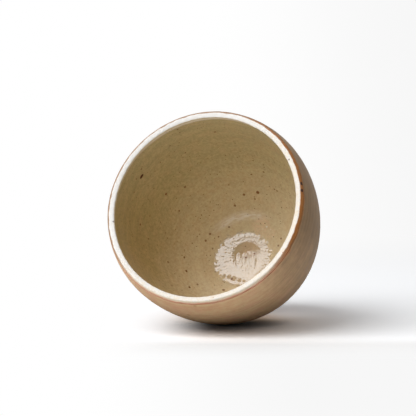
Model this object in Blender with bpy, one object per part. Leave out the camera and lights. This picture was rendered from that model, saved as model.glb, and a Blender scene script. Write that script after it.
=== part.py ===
"""Round-bellied yunomi teacup, thrown in stoneware and glazed, standing on its foot.

Metres, +Z up along the wheel's axis, with the origin at the centre of the face the cup rests on.
Every glazed surface follows one turned line, which runs from the middle of the inner floor up the
inside, over the lip and down the outside to the foot. A glaze is a strip of that line with the
thickness of its coat, and the clay is the same line set back by the coat and a clearance.
"""
import math

import bmesh
import bpy
import numpy as np

MM = 0.001

# Outside of the cup, over the glaze
HEIGHT = 71.8 * MM
RIM_RADIUS = 38.4 * MM
BELLY_RADIUS = 40.2 * MM
BELLY_DROP = 11.8 * MM
BELLY_FULLNESS = 1.78

# Inside of the cup, over the glaze
LIP_THICKNESS = 2.7 * MM
WALL = 4.0 * MM
FLOOR_HEIGHT = 10.4 * MM
BOWL_FULLNESS = 2.2
WELL_RADIUS = 12.0 * MM
WELL_RISE = 0.35 * MM
WELL_STRAIGHTNESS = 0.4
MOUND_RADIUS = 6.6 * MM
MOUND_HEIGHT = 0.3 * MM

# Foot ring
FOOT_HEIGHT = 6.0 * MM
FOOT_RADIUS = 19.0 * MM
FOOT_TOP_RADIUS = 20.0 * MM
FOOT_WIDTH = 4.4 * MM
FOOT_BEVEL = 0.8 * MM

# Glaze coats, and the bare clay between and below them
COAT = 0.4 * MM
CLEARANCE = 0.3 * MM
LIP_BAND_INSIDE = 0.6 * MM
LIP_BAND_OUTSIDE = 0.2 * MM
RUST_LINE = 0.8 * MM
BARE_ABOVE_FOOT = 2.4 * MM

# Fineness of the turned surfaces
TURN_STEPS = 48
LIP_STEPS = 6
NECK_STEPS = 4
BODY_STEPS = 11
BOWL_STEPS = 10
MOUND_STEPS = 3
WELL_STEPS = 2
SHARP_ANGLE = math.radians(40.0)

# Heights that several pieces share
BELLY_HEIGHT = HEIGHT - BELLY_DROP
LIP_LEAN = math.atan(2.0 * (BELLY_RADIUS - RIM_RADIUS) / (BELLY_DROP - LIP_THICKNESS / 2.0))
EDGE_HEIGHT = HEIGHT - LIP_THICKNESS / 2.0 * (1.0 - math.sin(LIP_LEAN))
INNER_EDGE_RADIUS = RIM_RADIUS - LIP_THICKNESS * math.cos(LIP_LEAN)
INNER_EDGE_HEIGHT = EDGE_HEIGHT - LIP_THICKNESS * math.sin(LIP_LEAN)
WELL_EDGE_HEIGHT = FLOOR_HEIGHT + WELL_RISE
SET_BACK = COAT + CLEARANCE

CREAM_WHITE = (0.90, 0.86, 0.78)
OLIVE_BEIGE = (0.60, 0.46, 0.25)
WARM_TAUPE = (0.48, 0.33, 0.20)
RUST_CLAY = (0.46, 0.20, 0.07)
FOOT_CLAY = (0.38, 0.22, 0.12)


def outer_radius(z):
    """Radius outside at height z: a parabola above the belly and a superellipse below it."""
    rise = np.clip((z - BELLY_HEIGHT) / (EDGE_HEIGHT - BELLY_HEIGHT), 0.0, None)
    neck = BELLY_RADIUS - (BELLY_RADIUS - RIM_RADIUS) * rise ** 2
    foot_share = 1.0 - (FOOT_TOP_RADIUS / BELLY_RADIUS) ** BELLY_FULLNESS
    fall = np.clip((BELLY_HEIGHT - z) / (BELLY_HEIGHT - FOOT_HEIGHT), 0.0, None)
    belly = BELLY_RADIUS * (1.0 - foot_share * fall ** BELLY_FULLNESS) ** (1.0 / BELLY_FULLNESS)
    return np.where(z > BELLY_HEIGHT, neck, belly)


def inner_neck_radius(z):
    """Radius inside between the belly and the lip: a parabola."""
    rise = (z - BELLY_HEIGHT) / (INNER_EDGE_HEIGHT - BELLY_HEIGHT)
    full = BELLY_RADIUS - WALL
    return full - (full - INNER_EDGE_RADIUS) * rise ** 2


def floor_line():
    """Inner floor from the axis to the edge of the well: a low mound in a shallow dish.

    The mound is a squared parabola. The dish rises along a straight line and a parabola added together.
    """
    share = np.linspace(0.0, 1.0, MOUND_STEPS + 1)
    mound = np.column_stack([MOUND_RADIUS * share, FLOOR_HEIGHT + MOUND_HEIGHT * (1.0 - share ** 2) ** 2])
    share = np.linspace(0.0, 1.0, WELL_STEPS + 1)[1:]
    rise = WELL_STRAIGHTNESS * share + (1.0 - WELL_STRAIGHTNESS) * share ** 2
    dish_radius = MOUND_RADIUS + (WELL_RADIUS - MOUND_RADIUS) * share
    return np.vstack([mound, np.column_stack([dish_radius, FLOOR_HEIGHT + WELL_RISE * rise])])


def bowl_line():
    """Inside from the edge of the well up to the belly: a superellipse cut off by the floor."""
    full = BELLY_RADIUS - WALL
    floor_share = (1.0 - (WELL_RADIUS / full) ** BOWL_FULLNESS) ** (1.0 / BOWL_FULLNESS)
    depth = (BELLY_HEIGHT - WELL_EDGE_HEIGHT) / floor_share
    start = math.acos((WELL_RADIUS / full) ** (BOWL_FULLNESS / 2.0))
    turn = np.linspace(start, 0.0, BOWL_STEPS + 1)
    radius = full * np.cos(turn) ** (2.0 / BOWL_FULLNESS)
    height = BELLY_HEIGHT - depth * np.sin(turn) ** (2.0 / BOWL_FULLNESS)
    return np.column_stack([radius, height])


def inner_neck_line():
    """Inside from the belly up to the lower edge of the lip band."""
    height = np.linspace(BELLY_HEIGHT, INNER_EDGE_HEIGHT - LIP_BAND_INSIDE, NECK_STEPS + 1)
    return np.column_stack([inner_neck_radius(height), height])


def lip_line():
    """Lip band: up the inside, half a circle over the lip, which leans in, and down the outside."""
    turn = np.linspace(math.pi, 0.0, LIP_STEPS + 1) + LIP_LEAN
    half = LIP_THICKNESS / 2.0
    middle_radius = RIM_RADIUS - half * math.cos(LIP_LEAN)
    middle_height = EDGE_HEIGHT - half * math.sin(LIP_LEAN)
    crown = np.column_stack([middle_radius + half * np.cos(turn), middle_height + half * np.sin(turn)])
    inside = INNER_EDGE_HEIGHT - LIP_BAND_INSIDE
    outside = EDGE_HEIGHT - LIP_BAND_OUTSIDE
    return np.vstack([(inner_neck_radius(inside), inside), crown, (outer_radius(outside), outside)])


def outer_line():
    """Outside from below the rust line down to where the glaze ends above the foot."""
    top = EDGE_HEIGHT - LIP_BAND_OUTSIDE - RUST_LINE
    bottom = FOOT_HEIGHT + BARE_ABOVE_FOOT
    neck = np.linspace(top, BELLY_HEIGHT, NECK_STEPS + 1)
    body = np.linspace(BELLY_HEIGHT, bottom, BODY_STEPS + 1)
    height = np.concatenate([neck, body[1:]])
    return np.column_stack([outer_radius(height), height])


def join_lines(*lines):
    """One line from several that end where the next begins, with each meeting point kept once."""
    joined = lines[0]
    for line in lines[1:]:
        step = np.linalg.norm(line[0] - joined[-1])
        joined = np.vstack([joined, line[1:] if step < CLEARANCE / 100.0 else line])
    return joined


def set_back(line, depth):
    """The line moved into the wall by depth, square to itself; a point on the axis stays there."""
    ahead = np.diff(line, axis=0)
    ahead = ahead / np.linalg.norm(ahead, axis=1)[:, None]
    run = np.vstack([ahead[:1], ahead[:-1] + ahead[1:], ahead[-1:]])
    run = run / np.linalg.norm(run, axis=1)[:, None]
    into_wall = np.column_stack([run[:, 1], -run[:, 0]])
    moved = line + depth * into_wall
    on_axis = line[:, 0] == 0.0
    moved[on_axis] = line[on_axis] - np.array([0.0, depth])
    return moved


def stopped_short(line, gap):
    """The line with its last point drawn back along it, to leave a gap at a neighbour."""
    cut = line.copy()
    back = line[-2] - line[-1]
    cut[-1] += back / np.linalg.norm(back) * gap
    return cut


def coat_outline(line):
    """Outline of a glaze coat: along the line and back, one coat deeper."""
    return np.vstack([line, set_back(line, COAT)[::-1]])


def stoneware(name, colour, roughness):
    """Plain material for one piece."""
    material = bpy.data.materials.new(name)
    material.use_nodes = True
    shader = material.node_tree.nodes["Principled BSDF"]
    shader.inputs["Base Color"].default_value = (*colour, 1.0)
    shader.inputs["Roughness"].default_value = roughness
    shader.inputs["Metallic"].default_value = 0.0
    return material


def turned(name, outline, closed, material):
    """One piece turned on the wheel's axis from its outline in the XZ plane."""
    shape = bmesh.new()
    corners = [shape.verts.new((radius, 0.0, height)) for radius, height in outline]
    edges = [shape.edges.new(pair) for pair in zip(corners, corners[1:])]
    if closed:
        edges.append(shape.edges.new((corners[-1], corners[0])))
    bmesh.ops.spin(shape, geom=corners + edges, cent=(0.0, 0.0, 0.0), axis=(0.0, 0.0, 1.0),
                   angle=2.0 * math.pi, steps=TURN_STEPS, use_merge=True)
    bmesh.ops.remove_doubles(shape, verts=shape.verts, dist=CLEARANCE / 100.0)
    bmesh.ops.recalc_face_normals(shape, faces=shape.faces)
    mesh = bpy.data.meshes.new(name)
    shape.to_mesh(mesh)
    shape.free()
    mesh.shade_smooth()
    mesh.set_sharp_from_angle(angle=SHARP_ANGLE)
    mesh.materials.append(material)
    piece = bpy.data.objects.new(name, mesh)
    bpy.context.scene.collection.objects.link(piece)
    return piece


def clay_body():
    """Thrown wall and floor, cut flat underneath where the foot ring is luted on."""
    surface = set_back(join_lines(floor_line(), bowl_line(), inner_neck_line(), lip_line(), outer_line()),
                       SET_BACK)
    underside = FOOT_HEIGHT + CLEARANCE
    base = np.array([(FOOT_TOP_RADIUS - SET_BACK, underside), (0.0, underside)])
    return turned("clay_body", np.vstack([surface, base]), False,
                  stoneware("rust_clay", RUST_CLAY, 0.75))


def inner_glaze():
    """Glaze coat lining the cup from the middle of its floor to the lip band."""
    line = join_lines(floor_line(), bowl_line(), inner_neck_line())
    return turned("inner_glaze", coat_outline(stopped_short(line, CLEARANCE)), False,
                  stoneware("olive_liner_glaze", OLIVE_BEIGE, 0.3))


def lip_glaze():
    """White glaze band over the lip."""
    return turned("lip_glaze", coat_outline(lip_line()), True,
                  stoneware("cream_lip_glaze", CREAM_WHITE, 0.25))


def outer_glaze():
    """Glaze coat on the outside, from the rust line to above the foot."""
    return turned("outer_glaze", coat_outline(outer_line()), True,
                  stoneware("taupe_satin_glaze", WARM_TAUPE, 0.5))


def foot_ring():
    """Unglazed ring that the cup stands on, bevelled at its resting face."""
    inside = FOOT_RADIUS - FOOT_WIDTH
    bevel = min(FOOT_BEVEL, FOOT_WIDTH / 3.0, FOOT_HEIGHT / 3.0)
    outline = np.array([
        (inside, FOOT_HEIGHT),
        (FOOT_TOP_RADIUS - SET_BACK, FOOT_HEIGHT),
        (FOOT_RADIUS, bevel),
        (FOOT_RADIUS - bevel, 0.0),
        (inside + bevel, 0.0),
        (inside, bevel),
    ])
    return turned("foot_ring", outline, True, stoneware("bare_foot_clay", FOOT_CLAY, 0.85))


def main():
    """Clear the scene and make the cup's pieces."""
    for old in list(bpy.data.objects):
        bpy.data.objects.remove(old, do_unlink=True)
    for make_piece in (clay_body, foot_ring, inner_glaze, outer_glaze, lip_glaze):
        make_piece()


main()
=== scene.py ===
"""Looks of a round-bellied stoneware tea cup: its glazes, its bare clay and a small studio round it.

The cup stands upright in its own frame, +Z up along the wheel's axis. It is looked at as it lies on its
side, so the studio's floor leans in that frame and touches the belly.
Every piece is turned from a line of radius and height: up the inside from the middle of the floor, over
the lip and down the outside to the foot. The air is on the left of a line as it runs.
"""
import math

import bpy
import numpy as np
from bpy.props import FloatProperty, FloatVectorProperty, PointerProperty
from mathutils import Matrix, Vector
from mathutils.bvhtree import BVHTree


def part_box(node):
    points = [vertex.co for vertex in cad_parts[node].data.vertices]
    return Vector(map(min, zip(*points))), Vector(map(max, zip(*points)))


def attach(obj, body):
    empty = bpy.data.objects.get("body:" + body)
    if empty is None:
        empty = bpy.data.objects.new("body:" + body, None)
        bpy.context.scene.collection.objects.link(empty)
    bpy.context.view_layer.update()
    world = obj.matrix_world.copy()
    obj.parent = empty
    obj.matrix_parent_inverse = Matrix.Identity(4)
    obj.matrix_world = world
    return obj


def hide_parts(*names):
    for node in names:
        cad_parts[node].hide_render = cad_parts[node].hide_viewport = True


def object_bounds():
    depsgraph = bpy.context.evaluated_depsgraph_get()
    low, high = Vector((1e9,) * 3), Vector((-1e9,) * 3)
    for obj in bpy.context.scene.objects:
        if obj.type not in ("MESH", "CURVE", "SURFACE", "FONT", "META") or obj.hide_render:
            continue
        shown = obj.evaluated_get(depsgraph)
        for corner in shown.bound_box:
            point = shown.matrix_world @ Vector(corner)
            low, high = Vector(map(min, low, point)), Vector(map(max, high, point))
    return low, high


bl_info = {
    "name": "Thrown Tea Cup",
    "version": (1, 0, 0),
    "blender": (4, 5, 0),
    "location": "View3D > Sidebar > Tea Cup",
    "description": "Dresses a thrown stoneware tea cup in its glazes and sets it in a small studio",
    "category": "Object",
}

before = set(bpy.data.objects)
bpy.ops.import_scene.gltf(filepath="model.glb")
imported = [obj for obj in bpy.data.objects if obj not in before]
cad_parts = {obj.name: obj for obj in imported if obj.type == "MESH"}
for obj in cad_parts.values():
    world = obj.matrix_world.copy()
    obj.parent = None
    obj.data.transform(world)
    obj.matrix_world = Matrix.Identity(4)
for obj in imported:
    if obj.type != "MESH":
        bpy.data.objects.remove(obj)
CAD_LOW, CAD_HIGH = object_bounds()

MM = 0.001
IMAGE_SIDE = 416
SENSOR_WIDTH = 36.0
TURN_STEPS = 384
SHARP_ANGLE = math.radians(50.0)
WHITE = (1.0, 1.0, 1.0, 1.0)
# Most values of a cloudy noise lie between these.
NOISE_RANGE = (0.3, 0.7)

# Stations along each stretch of the turned lines.
STATIONS = {
    "mound": 26, "well": 22, "bowl": 120, "neck": 24,
    "lip_inside": 5, "lip_round": 33, "lip_outside": 6,
    "outside": 140, "rust_line": 14, "bare_clay": 14, "underside": 30,
    "foot_outside": 24, "foot_corner": 9, "foot_rest": 9, "foot_inside": 16,
    "back_of_a_coat": 24,
}

# Waves on the wall: cycles in a turn, and radians in a metre along the line.
RIPPLE_WAVES = ((31.0, 900.0), (43.0, -700.0), (58.0, 400.0))
LIP_WAVES = ((61.0, 1500.0), (83.0, -1100.0), (97.0, 2300.0))
# Cycles in a turn of the waves in the well's edge.
WELL_CYCLES = np.array([5.0, 11.0, 19.0, 29.0])

# Slopes to the right between which floor and backdrop lose whiteness, a painted fall-off of the light.
DIM_SLOPES = (-0.005, 0.09)
# Least distance over which such a slope is measured on the floor.
DIM_LEAST = 0.3
# Spans in metres over which the floor's look changes, measured from where the cup touches it.
FLOOR_SPANS = {
    "dim_to_the_right": (-0.05, 0.03),
    "cool_to_the_left": (-0.005, -0.03),
    "painted_light_to_the_left": (-0.005, -0.05),
    "dim_in_front": (0.0, 0.05),
    "grey_in_front": (0.038, 0.058),
    "white_in_front": (0.04, 0.09),
    "glow_behind": (0.0, -0.012),
    "glow_round_it": (0.06, 0.03),
    "bounce_round_it": (0.015, 0.07),
    "white_far_off": (0.10, 0.32),
}
# Round places on the floor: shift to the right, shift ahead, span and share. The first is a painted contact
# shadow, the second a painted lit place.
PAINTED_CONTACT_SHADOW = (0.007, 0.0, (0.021, 0.006), 0.6)
PAINTED_LIT_PLACE = (0.022, -0.022, (0.02, 0.0), 0.15)
# Parts of the floor's whiteness in red, green and blue: plain, and cool on the left.
FLOOR_TINTS = ((1.0, 1.012, 1.03), (0.98, 1.012, 1.07))
# Greys of the floor in front of the cup, at its sides and in its middle, and how far the middle reaches.
FRONT_GREYS = (1.08, 0.925)
FRONT_REACH = 0.06
# Greys of the floor to light that bounces off it, at the contact and away from it.
BOUNCE_GREYS = (0.16, 0.85)

# Named spots: across and down in a picture of IMAGE_SIDE pixels, radius in millimetres and strength.
# First the largest iron spots in the liner.
IRON_SPOTS = {
    "oval_on_the_left_wall": (141.6, 176.4, 0.74, 1.0),
    "high_on_the_back_wall": (215.0, 132.0, 0.40, 0.85),
    "left_of_the_middle": (166.0, 194.0, 0.44, 0.8),
    "left_of_the_middle_upper": (185.0, 187.0, 0.38, 0.7),
    "red_pair_left": (244.0, 194.6, 0.44, 0.8),
    "red_pair_right": (257.7, 192.4, 0.60, 0.85),
    "under_the_red_pair": (255.0, 199.0, 0.34, 0.7),
    "right_wall_upper": (263.6, 172.0, 0.38, 0.7),
    "right_wall_lower": (277.0, 191.0, 0.34, 0.6),
    "above_the_well": (235.0, 205.6, 0.40, 0.75),
    "beside_the_well_upper": (229.0, 227.0, 0.34, 0.75),
    "beside_the_well_middle": (210.0, 234.0, 0.38, 0.8),
    "beside_the_well_lower": (205.6, 240.6, 0.40, 0.8),
    "left_of_the_well": (212.6, 248.5, 0.30, 0.7),
    "lower_left_wall": (184.4, 257.4, 0.38, 0.8),
    "lower_wall_upper": (186.4, 271.0, 0.42, 0.9),
    "lower_wall_pair": (197.6, 284.5, 0.40, 0.7),
    "by_the_lower_lip_left": (189.5, 287.2, 0.44, 0.95),
    "by_the_lower_lip_right": (223.6, 290.0, 0.46, 0.85),
    "edge_of_the_well": (231.6, 279.0, 0.42, 0.85),
    "on_the_mound": (245.8, 257.6, 0.36, 0.8),
    "on_the_mound_right": (254.6, 253.6, 0.34, 0.8),
    "right_of_the_well": (281.0, 238.6, 0.36, 0.75),
}
# Where the largest one burnt nearly black.
BURNT_SPOTS = {
    "upper_half_of_the_oval": (142.3, 175.4, 0.52, 0.9),
    "lower_half_of_the_oval": (141.0, 177.4, 0.52, 0.9),
}
# Soft patches where the liner flushed pink.
FLUSHED_PATCHES = {
    "patch_above_the_well": (261.8, 226.5, 3.2, 0.55),
    "patch_right_of_the_well": (270.0, 233.0, 2.2, 0.40),
    "patch_on_the_mound": (250.0, 249.0, 3.4, 0.45),
}
PALE_FLECKS = {
    "bold_fleck_above_the_well": (266.8, 226.8, 0.30, 0.9),
    "faint_fleck_above_the_well": (270.6, 229.6, 0.22, 0.5),
    "faint_fleck_left_of_the_bold_one": (262.4, 229.0, 0.22, 0.4),
}
# Dull gaps in the well's gloss.
GLOSS_GAPS = {
    "far_left_gap_below_the_ring": (224.5, 275.5, 0.55, 1.0),
    "left_gap_below_the_ring": (229.0, 277.0, 0.85, 1.0),
    "middle_gap_below_the_ring": (234.0, 278.6, 0.95, 1.0),
    "right_gap_below_the_ring": (239.5, 280.2, 0.80, 1.0),
    "far_right_gap_below_the_ring": (244.0, 281.0, 0.55, 1.0),
}
LIP_PITS = {
    "upper_pit_in_the_clay_line": (301.4, 183.6, 0.60, 1.0),
    "lower_pit_in_the_clay_line": (301.8, 190.4, 0.56, 1.0),
    "small_pit_high_on_the_right": (289.0, 159.6, 0.30, 0.6),
    "small_pit_on_the_left": (113.4, 221.6, 0.30, 0.6),
}
OUTER_MARKS = {
    "mark_below_the_lip": (195.0, 306.0, 0.55, 0.35),
    "mark_near_the_floor": (188.4, 315.0, 0.60, 0.35),
}


def length(name, description, default):
    """Property that is a length in metres."""
    return FloatProperty(name=name, description=description, default=default, unit="LENGTH")


def slant(name, description, degrees):
    """Property that is an angle, with its default in degrees."""
    return FloatProperty(name=name, description=description, default=math.radians(degrees), subtype="ANGLE")


def plain(name, description, default, **kind):
    """Property that is a bare number, or of the unit or subtype given."""
    return FloatProperty(name=name, description=description, default=default, **kind)


def tint(name, description, default):
    """Property that is a colour."""
    return FloatVectorProperty(name=name, description=description, default=default, subtype="COLOR")


class TeaCupSizes(bpy.types.PropertyGroup):
    """Sizes of the turned lines, measured over the glaze."""

    height: length("Height", "Resting face to the top of the lip", CAD_HIGH.z)
    rim_radius: length("Rim radius", "Outside of the lip", 38.4 * MM)
    belly_radius: length("Belly radius", "Outside of the widest place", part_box("outer_glaze")[1].x)
    belly_drop: length("Belly drop", "Top of the lip to the widest place", 11.8 * MM)
    belly_fullness: plain("Belly fullness", "Exponent of the outer curve", 1.78)
    lip_thickness: length("Lip thickness", "Across the lip", 2.7 * MM)
    lip_squareness: plain("Lip squareness", "Exponent of the lip's round", 3.4)
    wall: length("Wall", "Thickness at the belly", 4.0 * MM)
    floor_height: length("Floor height", "Resting face to the inner floor", 10.4 * MM)
    bowl_fullness: plain("Bowl fullness", "Exponent of the inner curve", 2.2)
    well_radius: length("Well radius", "Radius of the shallow inner floor", 12.0 * MM)
    well_rise: length("Well rise", "Rise of the floor to the edge of the well", 0.35 * MM)
    well_straightness: plain("Well straightness", "Straight share of the well's rise", 0.4, subtype="FACTOR")
    well_tilt: slant("Well tilt", "Slope of the whole well to one side", 4.2)
    well_turn: slant("Well turn", "Side to which the well slopes down", 211.5)
    well_shift: length("Well shift", "How far the well lies off the axis", 2.2 * MM)
    well_shift_turn: slant("Well shift turn", "Side to which the well lies off the axis", 11.5)
    well_oval: length("Well oval", "How far the well is longer than it is wide, by radius", 0.7 * MM)
    well_oval_turn: slant("Well oval turn", "Side to which the oval well is longest", 5.5)
    well_sway: length("Well sway", "How far the well's edge strays from a circle", 0.08 * MM)
    mound_radius: length("Mound radius", "Radius of the low mound in the well", 6.3 * MM)
    mound_height: length("Mound height", "Height of the low mound in the well", 0.30 * MM)
    foot_height: length("Foot height", "Height of the foot ring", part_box("foot_ring")[1].z)
    foot_radius: length("Foot radius", "Outside of the foot ring where it rests", 19.0 * MM)
    foot_top_radius: length("Foot top radius", "Outside where body and foot meet", 20.0 * MM)
    foot_width: length("Foot width", "Across the foot ring", 4.4 * MM)
    coat: length("Coat", "Thickness of a glaze", 0.4 * MM)
    bare_depth: length("Bare depth", "How far bare clay lies below the glaze", 0.04 * MM)
    lip_band_inside: length("Lip band inside", "Reach of the white glaze inside", 0.6 * MM)
    lip_band_outside: length("Lip band outside", "Reach of the white glaze outside", 0.2 * MM)
    rust_line: length("Rust line", "Width of the bare clay below the lip band", 0.8 * MM)
    bare_above_foot: length("Bare above foot", "Bare clay between glaze and foot", 2.4 * MM)
    ridge_pitch: length("Ridge pitch", "Climb of the thrower's spiral in one turn", 2.6 * MM)
    ridge_depth: length("Ridge depth", "Depth of the thrower's spiral", 0.03 * MM)
    wobble: length("Wobble", "How far the wall strays from a true round", 0.16 * MM)
    ripple: length("Ripple", "Unevenness of the glaze over a few millimetres", 0.05 * MM)
    lip_bumps: length("Lip bumps", "Depth of the small bumps along the lip", 0.15 * MM)
    finger_radius: length("Finger radius", "Where a finger left a pair of ridges", 16.3 * MM)
    finger_height: length("Finger height", "Height of the pair of ridges", 0.07 * MM)
    finger_width: length("Finger width", "Width of one ridge of the pair", 0.5 * MM)
    finger_turn: slant("Finger turn", "Side on which the ridges are highest", -112.5)


class TeaCupFinishes(bpy.types.PropertyGroup):
    """Colours of the glazes and of the clay."""

    olive: tint("Olive", "Liner glaze where it lies thick", (0.385, 0.258, 0.084))
    moss: tint("Moss", "Liner glaze on its greener side", (0.54, 0.465, 0.255))
    straw: tint("Straw", "Liner glaze where it lies thin", (0.90, 0.75, 0.55))
    pool: tint("Pool", "Tint by which the pooled liner glaze is deeper", (0.81, 0.77, 0.75))
    cream: tint("Cream", "White glaze over the lip", (0.885, 0.86, 0.82))
    # The white is laid on the lip's upper-left side as painted light.
    white: tint("White", "White glaze over the lip where it lies thick", (0.97, 0.955, 0.93))
    # Taupe and sand carry painted shade and painted light: the outer glaze is darker on its shaded side and
    # lighter on its lit side.
    taupe: tint("Taupe", "Outer glaze on its greyer side", (0.31, 0.197, 0.103))
    sand: tint("Sand", "Outer glaze on its warmer side", (0.79, 0.52, 0.29))
    rust: tint("Rust", "Clay that shows below the lip, where it fired hard", (0.44, 0.168, 0.04))
    # Salmon is the clay painted lighter on the lamp-lit lower side: painted light.
    salmon: tint("Salmon", "Clay that shows below the lip, where it fired pale", (0.82, 0.44, 0.29))
    foot_clay: tint("Foot clay", "Bare clay of the foot", (0.38, 0.22, 0.12))
    iron: tint("Iron", "Iron spots that bleed through the glazes", (0.20, 0.060, 0.014))
    burnt: tint("Burnt", "Iron that burnt nearly black", (0.06, 0.020, 0.006))


class TeaCupStudio(bpy.types.PropertyGroup):
    """Floor, camera and lights. Angles are as the cup lies on the floor."""

    floor_lean: slant("Floor lean", "Angle between the cup's axis and the floor", 24.65)
    floor_azimuth: slant("Floor azimuth", "Side of the cup that is up as it lies", -22.5)
    floor_reach: length("Floor reach", "Floor's edge from its middle", 2.0)
    floor_white: plain("Floor white", "Floor's whiteness to the camera", 1.26)
    floor_dimming: plain("Floor dimming", "Loss of whiteness far to the right", 0.07, subtype="FACTOR")
    floor_wedge: length("Floor wedge", "Start of the dim side in front of the contact", 0.95)
    floor_glow: plain("Floor glow", "Faint light of the floor behind the contact", 0.3)
    camera_rise: slant("Camera rise", "Line of sight above the floor", 5.7)
    camera_turn: slant("Camera turn", "Camera to the right of the mouth", 18.56)
    camera_distance: length("Camera distance", "Camera to the mouth", 0.94)
    field_width: length("Field width", "Width seen at the mouth", 156.7 * MM)
    aim_right: length("Aim right", "Picture's middle, right of the mouth's", 1.52 * MM)
    aim_down: length("Aim down", "Picture's middle, below the mouth's", 0.73 * MM)
    key_turn: slant("Key turn", "Softbox to the left of the camera", 50.0)
    key_rise: slant("Key rise", "Softbox above the floor", 45.5)
    key_roll: slant("Key roll", "Softbox turned about its own line of light", 10.0)
    key_distance: length("Key distance", "Softbox to the cup", 0.9)
    key_side: length("Key side", "Side of the square softbox", 0.77)
    key_power: plain("Key power", "Power of the softbox", 6.8, unit="POWER")
    ambient_low: plain("Low ambient", "White light from the horizon", 0.10)
    ambient_high: plain("High ambient", "White light from overhead", 0.52)
    ambient_tilt: slant("Ambient tilt", "Overhead light's lean to the left", 8.0)


def settings(context):
    """Sizes, finishes and studio of the scene."""
    scene = context.scene
    return scene.tea_cup_sizes, scene.tea_cup_finishes, scene.tea_cup_studio


def lip_edges(sizes):
    """Outer and inner end of the lip's round, as radius and height, and the angle by which it leans in."""
    half = sizes.lip_thickness / 2.0
    lean = math.atan(2.0 * (sizes.belly_radius - sizes.rim_radius) / (sizes.belly_drop - half))
    outer = np.array([sizes.rim_radius, sizes.height - half * (1.0 - math.sin(lean))])
    inner = outer - sizes.lip_thickness * np.array([math.cos(lean), math.sin(lean)])
    return outer, inner, lean


def outer_radius(sizes, height):
    """Radius outside at each height: a parabola above the belly, a superellipse below it."""
    belly_height = sizes.height - sizes.belly_drop
    rise = np.clip((height - belly_height) / (lip_edges(sizes)[0][1] - belly_height), 0.0, None)
    neck = sizes.belly_radius - (sizes.belly_radius - sizes.rim_radius) * rise ** 2
    power = sizes.belly_fullness
    share = 1.0 - (sizes.foot_top_radius / sizes.belly_radius) ** power
    fall = np.clip((belly_height - height) / (belly_height - sizes.foot_height), 0.0, None)
    belly = sizes.belly_radius * np.clip(1.0 - share * fall ** power, 0.0, None) ** (1.0 / power)
    return np.where(height > belly_height, neck, belly)


def inner_neck_radius(sizes, height):
    """Radius inside between belly and lip: a parabola through both."""
    belly_height = sizes.height - sizes.belly_drop
    inner = lip_edges(sizes)[1]
    full = sizes.belly_radius - sizes.wall
    return full - (full - inner[0]) * ((height - belly_height) / (inner[1] - belly_height)) ** 2


def liner_line(sizes):
    """Inside from near the axis to the lip band: low mound, shallow well, superellipse bowl, parabola.

    The mound is a parabola to the power 1.4, so its edge is crisp. The well rises along a straight line
    and a parabola added together.
    """
    nearest = 0.02
    crispness = 1.4
    mound = np.linspace(nearest, 1.0, STATIONS["mound"])
    mound_height = sizes.floor_height + sizes.mound_height * (1.0 - mound ** 2) ** crispness
    mound = mound * sizes.mound_radius
    out = np.linspace(0.0, 1.0, STATIONS["well"])[1:-1]
    ring = sizes.mound_radius + (sizes.well_radius - sizes.mound_radius) * out
    straight = sizes.well_straightness
    ring_height = sizes.floor_height + sizes.well_rise * (straight * out + (1.0 - straight) * out ** 2)
    power = sizes.bowl_fullness
    full = sizes.belly_radius - sizes.wall
    belly_height = sizes.height - sizes.belly_drop
    floor_share = (1.0 - (sizes.well_radius / full) ** power) ** (1.0 / power)
    depth = (belly_height - sizes.floor_height - sizes.well_rise) / floor_share
    start = math.acos((sizes.well_radius / full) ** (power / 2.0))
    turn = np.linspace(start, 0.0, STATIONS["bowl"])
    bowl = full * np.cos(turn) ** (2.0 / power)
    bowl_height = belly_height - depth * np.sin(turn) ** (2.0 / power)
    neck_top = lip_edges(sizes)[1][1] - sizes.lip_band_inside
    neck_height = np.linspace(belly_height, neck_top, STATIONS["neck"])[1:]
    neck = inner_neck_radius(sizes, neck_height)
    radius = np.concatenate([mound, ring, bowl, neck])
    height = np.concatenate([mound_height, ring_height, bowl_height, neck_height])
    return softened(np.column_stack([radius, height]), 2)


def lip_line(sizes):
    """Lip band: up the inside, half a superellipse over the lip, which leans in, and down the outside.

    The superellipse's points are cosine and sine, each raised to two over its exponent.
    """
    outer, inner, lean = lip_edges(sizes)
    turn = np.linspace(math.pi, 0.0, STATIONS["lip_round"])
    round_way = np.column_stack([np.cos(turn), np.sin(turn)])
    round_way = np.sign(round_way) * np.abs(round_way) ** (2.0 / sizes.lip_squareness)
    leaning = np.array([[math.cos(lean), math.sin(lean)], [-math.sin(lean), math.cos(lean)]])
    crown = (outer + inner) / 2.0 + sizes.lip_thickness / 2.0 * round_way @ leaning
    crown[:, 1] -= crown[:, 1].max() - sizes.height
    inside = np.linspace(inner[1] - sizes.lip_band_inside, crown[0, 1], STATIONS["lip_inside"])[:-1]
    outside = np.linspace(crown[-1, 1], outer[1] - sizes.lip_band_outside, STATIONS["lip_outside"])[1:]
    return np.vstack([
        np.column_stack([inner_neck_radius(sizes, inside), inside]),
        crown,
        np.column_stack([outer_radius(sizes, outside), outside]),
    ])


def outer_line(sizes):
    """Outside from below the rust line to where the glaze ends above the foot."""
    top = lip_edges(sizes)[0][1] - sizes.lip_band_outside - sizes.rust_line
    height = np.linspace(top, sizes.foot_height + sizes.bare_above_foot, STATIONS["outside"])
    return np.column_stack([outer_radius(sizes, height), height])


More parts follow.
